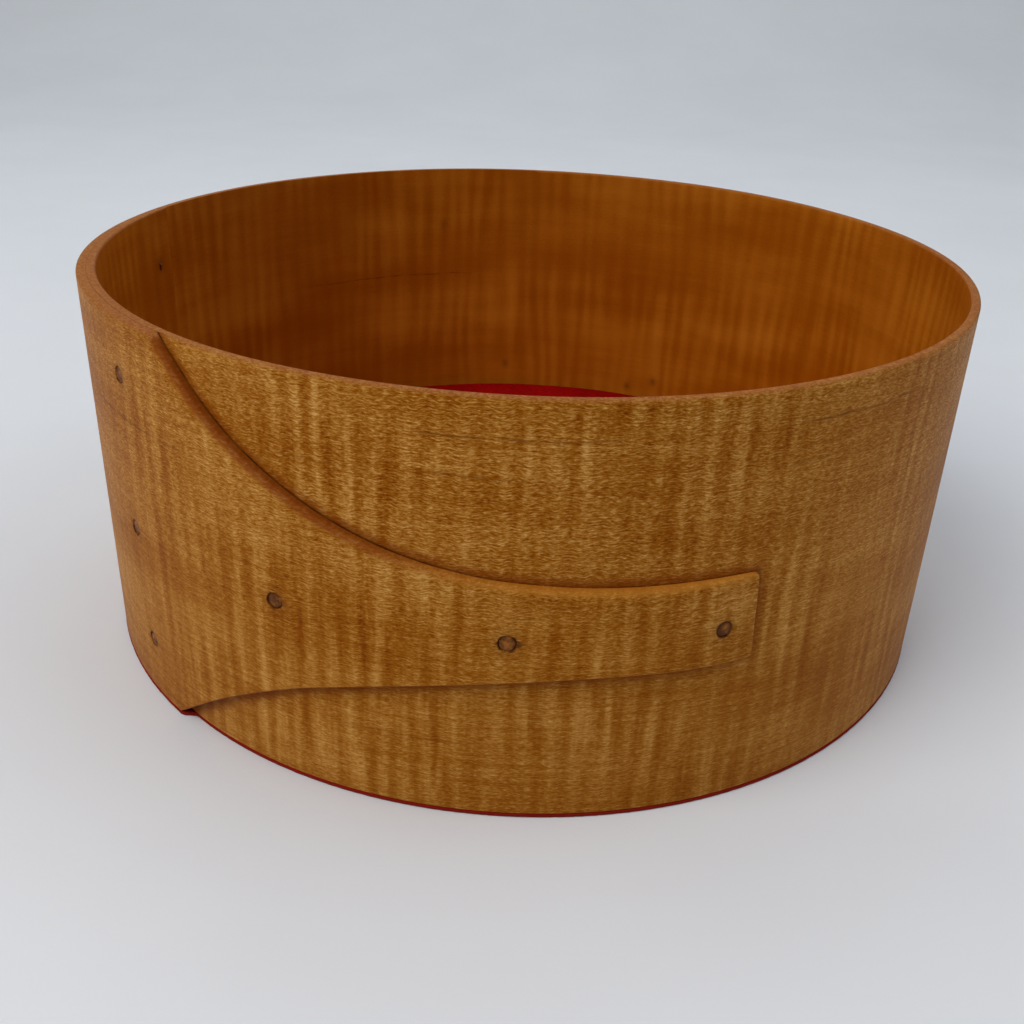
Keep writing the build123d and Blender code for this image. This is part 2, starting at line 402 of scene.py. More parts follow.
def strip_limits(angle):
    """Lowest and highest point of the strip: its full height, then the finger's two edges."""
    length = lap_length(angle)
    a = np.radians(angle)
    rim = RIM - RIM_UNEVEN * (0.5 + 0.3 * np.sin(3 * a + 1.0) + 0.2 * np.sin(7 * a))
    corner = rounded_end(TIP_LENGTH - length, TIP_CORNER)
    high = np.where(length > UPPER_ROOT, np.minimum(UPPER_EDGE(length), rim) - corner, rim)
    low = np.where(length > LOWER_ROOT, np.maximum(LOWER_EDGE(length), FOOT_TOP) + corner, FOOT_TOP)
    return low, high


def steepness(curve, length, root):
    """How much longer one of the finger's edges is than its run; 1 before its root."""
    step = 0.1 * MM
    slope = (curve(length + step) - curve(length - step)) / (2 * step)
    return np.sqrt(1 + np.where(length > root, slope, 0.0) ** 2)


def easings(angle, thickness):
    """Depth and width of the four rounded corners: outer top, inner top, inner bottom, outer bottom."""
    length = lap_length(angle)
    on_top = angle > 0.5 * FULL_TURN
    root_angle = math.degrees(UPPER_ROOT / LAP_OUTER)
    open_rim = smoothstep(root_angle - 0.4, root_angle + 1.0, angle)
    first_rim = SEAM_EASING + (RIM_EASING - SEAM_EASING) * open_rim
    bevel = smoothstep(UPPER_ROOT - 1 * MM, UPPER_ROOT + 6 * MM, length)
    foot_bevel = smoothstep(LOWER_ROOT, LOWER_ROOT + 6 * MM, length)
    thin = thickness / STRIP_THICKNESS
    steep = steepness(UPPER_EDGE, length, UPPER_ROOT)
    foot_steep = steepness(LOWER_EDGE, length, LOWER_ROOT)
    top_depth = np.where(on_top, RIM_EASING + (BEVEL_DEPTH * thin - RIM_EASING) * bevel, first_rim)
    top_width = np.where(on_top, RIM_EASING + (BEVEL_WIDTH * steep - RIM_EASING) * bevel, first_rim)
    lower_depth = FOOT_EASING + (LOWER_BEVEL * thin - FOOT_EASING) * foot_bevel
    lower_width = FOOT_EASING + (LOWER_BEVEL * foot_steep - FOOT_EASING) * foot_bevel
    foot_depth = np.where(on_top, lower_depth, FOOT_EASING)
    foot_width = np.where(on_top, lower_width, FOOT_EASING)
    inner_top = np.where(on_top, SEAM_EASING, RIM_EASING)
    inner_foot = np.full_like(inner_top, SEAM_EASING)
    most = 0.42 * thickness
    return [
        (np.minimum(top_depth, most), top_width),
        (np.minimum(inner_top, most), inner_top),
        (np.minimum(inner_foot, most), inner_foot),
        (np.minimum(foot_depth, most), foot_width),
    ]


def strip_sections(angle):
    """The loop round the strip's section at every column: radius, height, bareness and side."""
    inner, outer = strip_radii(angle)
    low, high = strip_limits(angle)
    to_tip = (FULL_TURN + TIP_ANGLE - angle) * math.radians(1) * LAP_OUTER
    outer = outer - rounded_end(to_tip, TIP_EASING)
    corners = easings(angle, outer - inner)
    inner, outer, low, high = [values[:, None] for values in (inner, outer, low, high)]
    corners = [(depth[:, None], width[:, None]) for depth, width in corners]
    (top_in, top_down), (rim_in, rim_down), (seam_in, seam_up), (foot_in, foot_up) = corners
    quarter = np.radians(90.0 * np.arange(1, CORNER_POINTS + 1) / (CORNER_POINTS + 1))
    rise, turn = np.sin(quarter), 1 - np.cos(quarter)
    fall, back = rise[::-1], turn[::-1]
    face = high - top_down - low - foot_up
    inner_face = high - rim_down - low - seam_up
    rim_width = inner + rim_in - outer + top_in
    foot_width = outer - foot_in - inner - seam_in
    rows = np.linspace(0, 1, OUTER_ROWS)
    inner_rows = np.linspace(1, 0, INNER_ROWS)
    across = np.linspace(0, 1, EDGE_POINTS + 2)
    flat = 0 * low
    parts = [
        (outer + flat * rows, low + foot_up + face * rows, 0 * rows, 0),
        (outer - top_in * turn, high - top_down * (1 - rise), rise**2, 0),
        (outer - top_in + rim_width * across, high + flat * across, 1 + 0 * across, 0.5),
        (inner + rim_in * back, high - rim_down * (1 - fall), fall**2, 1),
        (inner + flat * inner_rows, low + seam_up + inner_face * inner_rows, 0 * inner_rows, 1),
        (inner + seam_in * turn, low + seam_up * (1 - rise), rise**2, 1),
        (inner + seam_in + foot_width * across, low + flat * across, 1 + 0 * across, 0.5),
        (outer - foot_in * back, low + foot_up * (1 - fall), fall**2, 0),
    ]
    radius = np.concatenate([part[0] for part in parts], axis=1)
    height = np.concatenate([part[1] for part in parts], axis=1)
    bare = np.concatenate([part[2] for part in parts])
    inside = np.concatenate([np.full(len(part[2]), float(part[3])) for part in parts])
    return radius, height, bare, inside


class MeshParts:
    """Points, faces and point attributes gathered before they become one mesh."""

    def __init__(self):
        self.points = []
        self.faces = []
        self.attributes = {}
        self.count = 0

    def add_points(self, points, **attributes):
        points = np.asarray(points, float).reshape(-1, 3)
        first = self.count
        self.points.append(points)
        self.count += len(points)
        for name, values in attributes.items():
            self.attributes.setdefault(name, []).append(np.asarray(values, float))
        return first

    def add_faces(self, faces):
        self.faces.extend(faces)

    def build(self, name):
        points = np.concatenate(self.points)
        used = np.zeros(len(points), bool)
        for face in self.faces:
            used[list(face)] = True
        renumbered = np.cumsum(used) - 1
        faces = [[int(renumbered[i]) for i in face] for face in self.faces]
        mesh = bpy.data.meshes.new(name)
        mesh.from_pydata(points[used].tolist(), [], faces)
        for key, values in self.attributes.items():
            values = np.concatenate(values)[used]
            kind, field = ("FLOAT_VECTOR", "vector") if values.ndim == 2 else ("FLOAT", "value")
            attribute = mesh.attributes.new(key, kind, "POINT")
            attribute.data.foreach_set(field, values.astype(np.float32).ravel())
        mesh.shade_smooth()
        mesh.set_sharp_from_angle(angle=SHARP_ANGLE)
        mesh.validate()
        return add_object(name, mesh)

    def add_rings(self, grid, first, last):
        """Faces round a stack of closed rings, with a fan from one point at either end."""
        following = np.roll(grid, -1, axis=1)
        sides = np.stack([grid[:-1], grid[1:], following[1:], following[:-1]], axis=-1)
        self.add_faces(sides.reshape(-1, 4).tolist())
        self.add_faces([first, int(a), int(b)] for a, b in zip(grid[0], following[0]))
        self.add_faces([last, int(b), int(a)] for a, b in zip(grid[-1], following[-1]))


def finger_distance(length, height):
    """How far a place on the wall is outside the finger's outline; negative under the finger."""
    upper = np.where(length > UPPER_ROOT, UPPER_EDGE(length), RIM)
    lower = np.where(length > LOWER_ROOT, LOWER_EDGE(length), 0.0)
    above = (height - upper) / steepness(UPPER_EDGE, length, UPPER_ROOT)
    below = (lower - height) / steepness(LOWER_EDGE, length, LOWER_ROOT)
    return np.maximum(np.maximum(above, below), length - TIP_LENGTH)


def tack_offset(length, height):
    """Where a place on the lap's outer face lies from the nearest tack: along, up, and how far."""
    places = np.array(list(TACK_PLACES.values()))
    along = length[..., None] - places[:, 0]
    up = height[..., None] - places[:, 1]
    gap = np.hypot(along, up)
    nearest = np.argmin(gap, axis=-1)[..., None]
    offset = [np.take_along_axis(values, nearest, axis=-1)[..., 0] for values in (along, up, gap)]
    return np.stack(offset, axis=-1)


def wood_attributes(angle, radius, height, bare, inside):
    """What the wood's material needs to know at each point: where it is, and what it is near."""
    length = lap_length(angle)
    first_turn = np.radians(angle) * LAP_OUTER
    on_first_face = (angle < 0.5 * FULL_TURN) & (inside < 0.25)
    outside = np.where(on_first_face, finger_distance(first_turn, height), FAR)
    on_lap_face = (angle > 0.5 * FULL_TURN) & (inside < 0.25)
    tack = np.where(on_lap_face[..., None], tack_offset(length, height), FAR)
    strip = np.stack([np.radians(angle) * WALL_OUTER, height, radius - WALL_INNER], axis=-1)
    return {
        "strip": strip.reshape(-1, 3),
        "bare": bare.ravel(),
        "inside": inside.ravel(),
        "outside": np.clip(outside, -FAR, FAR).ravel(),
        "tack": np.clip(tack, -FAR, FAR).reshape(-1, 3),
    }


def tack_pocket(parts, loop, lengths, heights, name):
    """A pocket for one head: rings from the hole's boundary in to a circle, a lip, a wall and a floor."""
    tack_length, tack_height = TACK_PLACES[name]
    spoke = np.arctan2(heights - tack_height, lengths - tack_length)
    previous = list(loop)
    for ring_radius, depth in POCKET_RINGS:
        length = tack_length + ring_radius * np.cos(spoke)
        height = tack_height + ring_radius * np.sin(spoke)
        angle = lap_angle(length)
        radius = strip_radii(angle)[1] - dimple(length, height) - depth
        zero = 0 * angle
        facts = wood_attributes(angle, radius, height, zero + min(depth / POCKET_DEPTH, 1), zero)
        first = parts.add_points(point_at(angle, radius, height), **facts)
        ring = list(range(first, first + len(loop)))
        turned = zip(previous, previous[1:] + previous[:1], ring[1:] + ring[:1], ring)
        parts.add_faces(turned)
        previous = ring
    parts.add_faces([previous])


def hole_round(angle, height, name):
    """The rows and columns of cells that a pocket takes the place of."""
    tack_length, tack_height = TACK_PLACES[name]
    length = lap_length(angle)
    middle = int(np.argmin(np.abs(length - tack_length)))
    columns = np.where(np.abs(length - tack_length) < POCKET_WINDOW)[0]
    rows = np.where(np.abs(height[middle, :OUTER_ROWS] - tack_height) < POCKET_WINDOW)[0]
    return columns[0] - 1, columns[-1] + 1, rows[0] - 1, rows[-1] + 1


def band():
    """The whole strip as one closed mesh: wound once round, lapped, and cut to the finger at its end."""
    angle = strip_columns()
    radius, height, bare, inside = strip_sections(angle)
    grid_angle = angle[:, None] + 0 * radius
    tip_middle = 0.5 * (UPPER_EDGE(TIP_LENGTH) + LOWER_EDGE(TIP_LENGTH))
    tip_height = UPPER_EDGE(TIP_LENGTH) - LOWER_EDGE(TIP_LENGTH)
    near_tip = smoothstep(TIP_ANGLE - 5, TIP_ANGLE, grid_angle - FULL_TURN)
    lean = np.degrees(TIP_SLANT / LAP_OUTER) * (height - tip_middle) / tip_height
    grid_angle = grid_angle + lean * near_tip
    length = lap_length(grid_angle)
    on_lap_face = (grid_angle > 0.5 * FULL_TURN) & (inside < 0.25)
    radius = radius - np.where(on_lap_face, dimple(length, height), 0.0)
    parts = MeshParts()
    facts = wood_attributes(grid_angle, radius, height, bare + 0 * radius, inside + 0 * radius)
    parts.add_points(point_at(grid_angle, radius, height), **facts)
    columns, rows = radius.shape
    number = np.arange(columns * rows).reshape(columns, rows)
    keep = np.ones((columns - 1, rows), bool)
    for name in TACK_NAMES:
        left, right, low, high = hole_round(angle, height, name)
        keep[left:right, low:high] = False
        loop = number[left:right, low].tolist() + number[right, low:high].tolist()
        loop += number[right:left:-1, high].tolist() + number[left, high:low:-1].tolist()
        tack_pocket(parts, loop, length.ravel()[loop], height.ravel()[loop], name)
    following = np.roll(number, -1, axis=1)
    corners = [number[:-1], number[1:], following[1:], following[:-1]]
    parts.add_faces(np.stack(corners, axis=-1)[keep].tolist())
    parts.add_faces([number[0].tolist(), number[-1, ::-1].tolist()])
    return parts.build("band_wood")


def head_rings(draw, around, circle):
    """The head's rings from near its middle out to the shank: outline, level and share of the radius."""
    phases = [draw.uniform(0, 2 * math.pi) for _ in range(4)]
    uneven = 1 - 0.035 - 0.03 * np.sin(2 * around + phases[0]) - 0.02 * np.sin(5 * around + phases[1])
    rings = []
    for share in (0.16, 0.34, 0.52, 0.68, 0.82, 0.93):
        blows = HEAD_BLOWS * np.sin(3 * around + phases[2] + 4 * share) * np.sin(7 * share + phases[3])
        crown = HEAD_CROWN * (1 - share**2) - HEAD_SUNK - np.abs(blows)
        rings.append((share * HEAD_RADIUS * uneven * circle, crown, share))
    for share, depth in ((0.985, 0.03 * MM), (1.0, 0.1 * MM), (0.99, HEAD_THICKNESS)):
        rings.append((share * HEAD_RADIUS * uneven * circle, -HEAD_SUNK - depth, 1.0))
    return rings


def shank_path(wall):
    """The square shank through the wall and its clinched tip: distance out, level, lean, half sizes."""
    start = -wall + CLINCH_BEND - CLINCH_HALF
    path = [(0.0, start, 0.0, TIP_HALF, TIP_HALF)]
    for bend in (30, 60, 90):
        lean = math.radians(bend)
        out = CLINCH_BEND * (1 - math.cos(lean))
        flatter = TIP_HALF + (CLINCH_HALF - TIP_HALF) * bend / 90
        path.append((out, start - CLINCH_BEND * math.sin(lean), lean, TIP_HALF, flatter))
    for share in (0.5, 0.85, 1.0):
        out = CLINCH_BEND + (CLINCH_LENGTH - CLINCH_BEND) * share
        level = start - CLINCH_BEND + CLINCH_RISE * share
        wide = TIP_HALF * (1 - 0.7 * share)
        thick = CLINCH_HALF * (1 - 0.6 * share)
        path.append((out, level, math.pi / 2, wide, thick))
    return path


def tack_place(name):
    """The frame of one tack on the lap's outer face, with the wall's thickness under it."""
    length, height = TACK_PLACES[name]
    angle = lap_angle(length)
    surface = strip_radii(np.array(angle))[1] - dimple(length, height)
    outer = Vector(point_at(angle, surface, height))
    inner = Vector(point_at(angle, WALL_INNER, height))
    along = Vector((math.cos(math.radians(angle)), math.sin(math.radians(angle)), 0))
    up = Vector((0, 0, 1))
    place = Matrix((along, up, (outer - inner).normalized())).transposed().to_4x4()
    place.translation = outer
    return place, (outer - inner).length


def tack(name):
    """A copper tack: a hammered head, a square shank, and a tip bent over on the inside wall."""
    draw = random.Random(name)
    place, wall = tack_place(name)
    around = np.linspace(0, 2 * np.pi, HEAD_SEGMENTS, endpoint=False)
    circle = np.stack([np.cos(around), np.sin(around)])
    square = circle / (np.abs(circle) ** 6).sum(axis=0) ** (1 / 6)
    rings = head_rings(draw, around, circle)
    rings.append((SHANK_HALF * square, -HEAD_SUNK - HEAD_THICKNESS - 0.01 * MM, 1.0))
    points = [np.stack([*flat, level + 0 * around], axis=-1) for flat, level, _ in rings]
    shares = [share + 0 * around for _, _, share in rings]
    turn = 1 if TACK_PLACES[name][1] < BOTTOM_TACKS_BELOW else -1
    for out, level, lean, wide, thick in shank_path(wall):
        second = np.array([0, math.cos(lean), turn * math.sin(lean)])
        centre = np.array([0, turn * out, level])
        first = np.array([1, 0, 0])
        points.append(centre + np.outer(square[0] * wide, first) + np.outer(square[1] * thick, second))
        shares.append(0.5 + 0 * around)
    crown_point = np.array([[0, 0, HEAD_CROWN - HEAD_SUNK]])
    tip_point = points[-1].mean(axis=0, keepdims=True)
    cloud = np.concatenate([crown_point, *points, tip_point])
    placed = np.array([place @ Vector(point) for point in cloud])
    facts = {
        "rim": np.concatenate([[0.0], *shares, [0.5]]),
        "head": cloud + [draw.uniform(0, 0.1) for _ in range(3)],
        "tarnish": TARNISH.get(name, USUAL_TARNISH) + 0 * cloud[:, 0],
    }
    parts = MeshParts()
    parts.add_points(placed, **facts)
    grid = 1 + np.arange(len(points) * HEAD_SEGMENTS).reshape(len(points), HEAD_SEGMENTS)
    parts.add_rings(grid, 0, len(cloud) - 1)
    return parts.build(name + "_copper")


def felt_edge(outline, around, low):
    """The felt's edge, a little inside its outline where it is frayed."""
    angles = [math.radians(a) for a in around]
    places = [Vector((2 * math.sin(a), 2 * math.cos(a), low)) * 60 for a in angles]
    frayed = np.array([noise.noise(place) for place in places])
    return outline(around) - FELT_FRAY * (0.5 + 0.5 * frayed)


def felt_disc(name, outline, low, high, unevenness):
    """A disc of felt with a soft ragged edge and uneven faces. outline gives its radius at each angle."""
    around = np.linspace(-180, 180, FELT_SEGMENTS, endpoint=False)
    edge = felt_edge(outline, around, low)[:, None]
    thickness = high - low
    rounding = FELT_CORNER * thickness
    corner = np.radians([25, 50, 75])
    back = corner[::-1]
    face = edge * (np.linspace(0.03, 1, FELT_RINGS) ** 0.8 * (edge - rounding) / edge)
    radii = [face, edge - rounding * (1 - np.sin(corner))]
    radii += [edge - rounding * (1 - np.sin(back)), face[:, ::-1]]
    levels = [high + 0 * face, high - rounding * (1 - np.cos(corner)) + 0 * edge]
    levels += [low + rounding * (1 - np.cos(back)) + 0 * edge, low + 0 * face]
    radius = np.concatenate(radii, axis=1)
    level = np.concatenate(levels, axis=1)
    a = np.radians(around)[:, None]
    x, y = radius * np.sin(a), -radius * np.cos(a)
    waves = np.array([noise.noise(Vector((px, py, low)) * 45) for px, py in zip(x.ravel(), y.ravel())])
    lift = unevenness * (0.5 * waves.reshape(x.shape) - 0.5)
    level = np.where(level > low + 0.5 * thickness, level + lift, level)
    parts = MeshParts()
    parts.add_points(np.stack([x, y, level], axis=-1))
    centre = parts.add_points([[0, 0, high - 0.5 * unevenness], [0, 0, low]])
    number = np.arange(x.size).reshape(x.shape)
    parts.add_rings(number.T, centre, centre + 1)
    return parts.build(name)


def floor_felt_outline(angle):
    """The floor felt is round."""
    return FLOOR_FELT_HIGH.x + 0 * angle


def foot_felt_outline(angle):
    """The foot felt is trimmed to the band, with the band's step where the finger leaves the foot."""
    wall = WALL_OUTER + climb(angle)
    notch = math.degrees(LOWER_ROOT / LAP_OUTER)
    share = 1 - smoothstep(notch, notch + FELT_NOTCH, angle)
    return FELT_PROUD + WALL_OUTER + (wall - WALL_OUTER) * share


class Painter:
    """A material's or world's nodes. Most methods add one node and give back its output socket."""

    def __init__(self, owner):
        owner.use_nodes = True
        self.owner = owner
        self.tree = owner.node_tree
        self.tree.nodes.clear()

    def add(self, kind, sockets, output=0, **settings):
        made = self.tree.nodes.new(kind)
        for key, value in settings.items():
            setattr(made, key, value)
        for key, value in sockets.items():
            if isinstance(value, bpy.types.NodeSocket):
                self.tree.links.new(value, made.inputs[key])
            else:
                made.inputs[key].default_value = value
        return made.outputs[output] if made.outputs else None

    def math(self, operation, *values):
        return self.add("ShaderNodeMath", dict(enumerate(values)), operation=operation)

    def fold(self, operation, values):
        """One node after another, each with the result so far and the next value."""
        result = values[0]
        for value in values[1:]:
            result = self.math(operation, result, value)
        return result

    def times(self, *values):
        return self.fold("MULTIPLY", values)

    def plus(self, *values):
        return self.fold("ADD", values)

    def centred(self, value, share):
        """How far a value is from a half, times a share."""
        return self.times(self.plus(value, -0.5), share)

    def attribute(self, name, output="Fac"):
        return self.add("ShaderNodeAttribute", {}, output, attribute_name=name)

    def split(self, vector):
        made = self.tree.nodes.new("ShaderNodeSeparateXYZ")
        self.tree.links.new(vector, made.inputs[0])
        return list(made.outputs)

    def join(self, x, y, z=0.0):
        return self.add("ShaderNodeCombineXYZ", {0: x, 1: y, 2: z})

    def stretched(self, parts, sizes):
        """Coordinates in which a noise has grains of the sizes given."""
        return self.join(*[self.times(part, 1 / size) for part, size in zip(parts, sizes)])

    def noise(self, vector, detail=0.0, roughness=0.5, scale=1.0, distortion=0.0):
        sockets = {"Vector": vector, "Scale": scale, "Detail": detail}
        sockets.update({"Roughness": roughness, "Distortion": distortion})
        return self.add("ShaderNodeTexNoise", sockets)

    def remap(self, value, low, high, to_low=0.0, to_high=1.0, smooth=False):
        kind = "SMOOTHSTEP" if smooth else "LINEAR"
        sockets = {0: value, 1: low, 2: high, 3: to_low, 4: to_high}
        return self.add("ShaderNodeMapRange", sockets, interpolation_type=kind)

    def ramp(self, share, *stops):
        made = self.tree.nodes.new("ShaderNodeValToRGB")
        elements = made.color_ramp.elements
        while len(elements) < len(stops):
            elements.new(0.5)
        for element, (position, colour) in zip(elements, stops):
            element.position = position
            element.color = (*colour, 1)
        self.tree.links.new(share, made.inputs[0])
        return made.outputs[0]

    def mix(self, share, a, b, blend="MIX"):
        a, b = [c if isinstance(c, bpy.types.NodeSocket) else (*c, 1) for c in (a, b)]
        return self.add("ShaderNodeMix", {0: share, 6: a, 7: b}, 2, data_type="RGBA", blend_type=blend)

    def fade(self, distance, reach):
        """One at no distance, falling off smoothly over the reach."""
        share = self.math("DIVIDE", distance, reach)
        return self.math("EXPONENT", self.times(share, share, -1.0))

    def bump(self, height, strength):
        return self.add("ShaderNodeBump", {"Height": height, "Strength": strength, "Distance": 1.0})

    def surface(self, **sockets):
        sockets = {key.replace("_", " "): value for key, value in sockets.items()}
        shader = self.add("ShaderNodeBsdfPrincipled", sockets)
        self.add("ShaderNodeOutputMaterial", {0: shader})
        return self.owner


class Maple(Painter):
    """The maple's nodes: s is the distance along the strip, z the height, depth the way through it."""

    def __init__(self):
        super().__init__(bpy.data.materials.new("curly_maple"))
        self.s, self.z, self.depth = self.split(self.attribute("strip", "Vector"))
        self.inside = self.attribute("inside")
        self.on_inside = self.math("GREATER_THAN", self.inside, 0.75)
        sway = self.speckle("sway", 1.0)
        phase = self.plus(self.times(self.s, 1 / CURL_PERIOD), self.times(sway, CURL_SWAY))
        self.wave = self.math("SINE", self.times(phase, 2 * math.pi))
        jitter = self.centred(self.speckle("jitter", 1.0), 0.35 * MM)
        lifted = self.plus(self.times(self.wave, 0.14 * MM), jitter, self.z)
        self.flecks = self.speckle("flecks", 2.0, 0.6, lifted)
        self.grit = self.speckle("grit", 2.0, 0.6)

    def speckle(self, grain, detail=0.0, roughness=0.5, height=None):
        """Noise in the strip's own coordinates, with the grain sizes listed above."""
        parts = (self.s, self.z if height is None else height, self.depth)
        return self.noise(self.stretched(parts, [size * MM for size in GRAIN[grain]]), detail, roughness)

    def left_inside(self, value, share):
        """A value that only a share is left of on the inside wall."""
        return self.times(value, self.remap(self.inside, 0.0, 1.0, 1.0, share))

    def distance(self, along, height, squeeze=1.0):
        """How far a place is from a point at a distance along the strip and a height."""
        gap_s = self.plus(self.s, -along)
        gap_z = self.times(self.plus(self.z, -height), squeeze)
        return self.math("SQRT", self.plus(self.times(gap_s, gap_s), self.times(gap_z, gap_z)))

    def liveliness(self):
        """How strong the figure is: fullest about the front, on the wall and on the lap."""
        first_face = self.fade(self.plus(self.s, -FIGURE_MIDDLE), FIGURE_REACH)
        lap_face = self.fade(self.plus(self.s, -FIGURE_MIDDLE - TURN_LENGTH), FIGURE_REACH)
        return self.remap(self.plus(first_face, lap_face), 0.0, 1.0, FIGURE_AWAY, 1.0)

    def curl(self, lively):
        """Curl stripes: a swaying wave, uneven plies and broad bands, stronger and weaker in places."""
        ply = self.left_inside(self.centred(self.speckle("ply", 2.0, 0.6), PLY_SHARE), PLY_INSIDE)
        broad = self.left_inside(self.centred(self.speckle("broad", 1.0), BROAD_SHARE), BROAD_INSIDE)
        curl = self.plus(self.times(self.wave, WAVE_SHARE), ply, broad)
        strength = self.remap(self.speckle("strength"), 0.35, 0.65, 0.4, 1.0, smooth=True)
        return self.left_inside(self.times(strength, lively, curl), CURL_INSIDE)

    def figure(self):
        """The tone of the bare wood: curl across the strip, flecks and streaks along it, and clouds."""
        lively = self.liveliness()
        fewer_low = self.remap(self.z, 20 * MM, 58 * MM, FLECKS_LOW, 1.0, smooth=True)
        fine = self.plus(self.centred(self.flecks, FLECK_SHARE), self.centred(self.grit, GRIT_SHARE))
        fine = self.left_inside(self.times(lively, fewer_low, fine), FINE_INSIDE)
        growth = self.centred(self.speckle("growth", 1.0), GROWTH_SHARE)
        streaks = self.centred(self.speckle("streaks", 2.0, 0.6), STREAK_SHARE)
        along = self.left_inside(self.plus(growth, streaks), STREAKS_INSIDE)
        cloud = self.centred(self.speckle("cloud", 2.0), CLOUD_SHARE)
        return self.plus(self.curl(lively), fine, along, cloud, 0.5)

    def mineral_line(self, colour, start, end, height, half, strong):
        """A fine dark line along the grain that wanders, breaks up and fades out at both ends."""
        wander = self.noise(self.join(self.times(self.s, 1 / (9 * MM)), height * 300, 0.0), 2.0)
        line = self.plus(self.z, self.centred(wander, LINE_WANDER))
        breaks = self.noise(self.join(self.times(self.s, 1 / (4 * MM)), height, 0.0), 1.0)
        mask = self.times(
            self.fade(self.plus(line, -height * MM), half * MM),
            self.remap(self.s, (start - LINE_FADE) * MM, (start + LINE_FADE) * MM, smooth=True),
            self.remap(self.s, (end - LINE_FADE) * MM, (end + LINE_FADE) * MM, 1.0, 0.0, smooth=True),
            self.remap(self.flecks, 0.35, 0.6, 0.35, 1.0),
            self.remap(breaks, 0.36, 0.56, 0.2, 1.0),
            strong,
        )
        return self.mix(mask, colour, MINERAL)

    def inside_marks(self, colour):
        """Pin knots, and stains round the clinched tips, on the inside wall."""
        for angle, height, size, strong in PIN_KNOTS:
            gap = self.distance(math.radians(angle) * WALL_OUTER, height * MM, 0.8)
            mask = self.times(self.fade(gap, size * MM), self.on_inside, strong)
            colour = self.mix(mask, colour, KNOT)
        for length, height in TACK_PLACES.values():
            gap = self.distance(length * WALL_OUTER / LAP_OUTER, height)
            mask = self.times(self.fade(gap, CLINCH_STAIN_REACH), self.on_inside, 0.45)
            colour = self.mix(mask, colour, KNOT)
        return colour

    def edges(self, colour):
        """Rubbed rim, and the finger's bevel: scuffed orange to the tip, frayed red to the root."""
        bare = self.attribute("bare")
        near_rim = self.remap(self.z, RIM - 1.0 * MM, RIM - 0.4 * MM, smooth=True)
        near_root = self.remap(self.s, BEVEL_RED_UNTIL, BEVEL_RED_FROM, smooth=True)
        bevel = self.mix(near_root, EDGE_ORANGE, EDGE_RED)
        edge = self.mix(near_rim, bevel, RIM_COLOUR)
        scuffed = self.mix(self.remap(self.grit, 0.45, 0.75, 0.0, 0.5), edge, EDGE_SCUFFED)
        frayed = self.mix(self.remap(self.grit, 0.4, 0.65, 0.75, 0.0), edge, EDGE_DARK)
        edge = self.mix(near_root, scuffed, frayed)
        own = self.plus(self.remap(self.flecks, 0.3, 0.7, 0.15, 0.65), self.times(near_rim, 0.3))
        own = self.times(own, self.remap(near_root, 0.0, 1.0, 1.0, 0.3))
        edge = self.mix(own, edge, colour)
        is_edge = self.math("GREATER_THAN", bare, 0.01)
        worn = self.plus(bare, self.times(self.centred(self.flecks, 0.9), is_edge))
        return self.mix(self.remap(worn, 0.0, 0.5, 0.0, 0.9), colour, edge)

    def finger_stains_and_shade(self, colour):
        """Old finish caught just outside the finger's upper edge, a painted shadow under its lower edge,
        and the dark line of the crevice itself, partly finish caught there and partly painted shade.
        """
        outside = self.attribute("outside")
        blotch = self.remap(self.speckle("blotch"), 0.3, 0.7, 0.65, 1.0)
        above = self.remap(self.z, *ABOVE_FINGER)
        ragged = self.plus(outside, self.centred(self.speckle("ragged", 2.0), STAIN_RAGGED))
        stain = self.remap(ragged, *STAIN_REACH, 0.72, 0.0, smooth=True)
        stain = self.times(stain, above, self.remap(self.s, 38.8 * MM, 40.3 * MM, 1.0, 0.3))
        # Painted shadow under the finger's lower edge, fading out towards the tip
        faded = self.remap(self.s, 25 * MM, 41 * MM, 0.75, 0.15, smooth=True)
        below = self.remap(ragged, *SHADE_REACH, 1.0, 0.0, smooth=True)
        shade = self.times(below, faded, self.plus(self.times(above, -1.0), 1.0))
        colour = self.mix(self.times(self.plus(stain, shade), blotch), colour, EDGE_DARK)
        # The crevice line: partly finish caught in it and partly painted shade, strongest towards the
        # root
        deep = self.remap(self.s, -25 * MM, 5 * MM, 0.95, 0.35)
        return self.mix(self.times(self.fade(outside, CREVICE_REACH), blotch, deep), colour, CREVICE)

    def tack_stains_and_shade(self, colour):
        """A dark ring of painted shade and a stained halo round each head, and the grain split to a point
        on either side.
        """
        along, up, gap = self.split(self.attribute("tack", "Vector"))
        patchy = self.remap(self.speckle("patchy"), 0.38, 0.6, 0.2, 1.0)
        # Painted shade in the gap round the sunk head
        ring = self.times(self.fade(self.plus(gap, -RING_RADIUS), RING_REACH), patchy, 0.9)
        aside = self.times(self.math("ABSOLUTE", self.plus(along, -SPLIT_OFFSET)), -1 / SPLIT_HALF_LENGTH)
        lens = self.plus(aside, self.times(self.math("ABSOLUTE", up), -1 / SPLIT_HALF_HEIGHT))
        deepest = TACK_PLACES[DEEPEST_SPLIT][0] * WALL_OUTER / LAP_OUTER + TURN_LENGTH
        deeper = self.fade(self.plus(self.s, -deepest), DEEPEST_REACH)
        split = self.times(
            self.remap(lens, -1.0, -0.7, 0.0, 0.65, smooth=True),
            self.math("LESS_THAN", gap, SPLIT_WITHIN),
            self.remap(deeper, 0.0, 1.0, 0.45, 1.2),
        )
        halo = self.times(self.fade(gap, HALO_REACH), 0.3)
        return self.mix(self.fold("MAXIMUM", (ring, split, halo)), colour, TACK_STAIN_AND_SHADE)


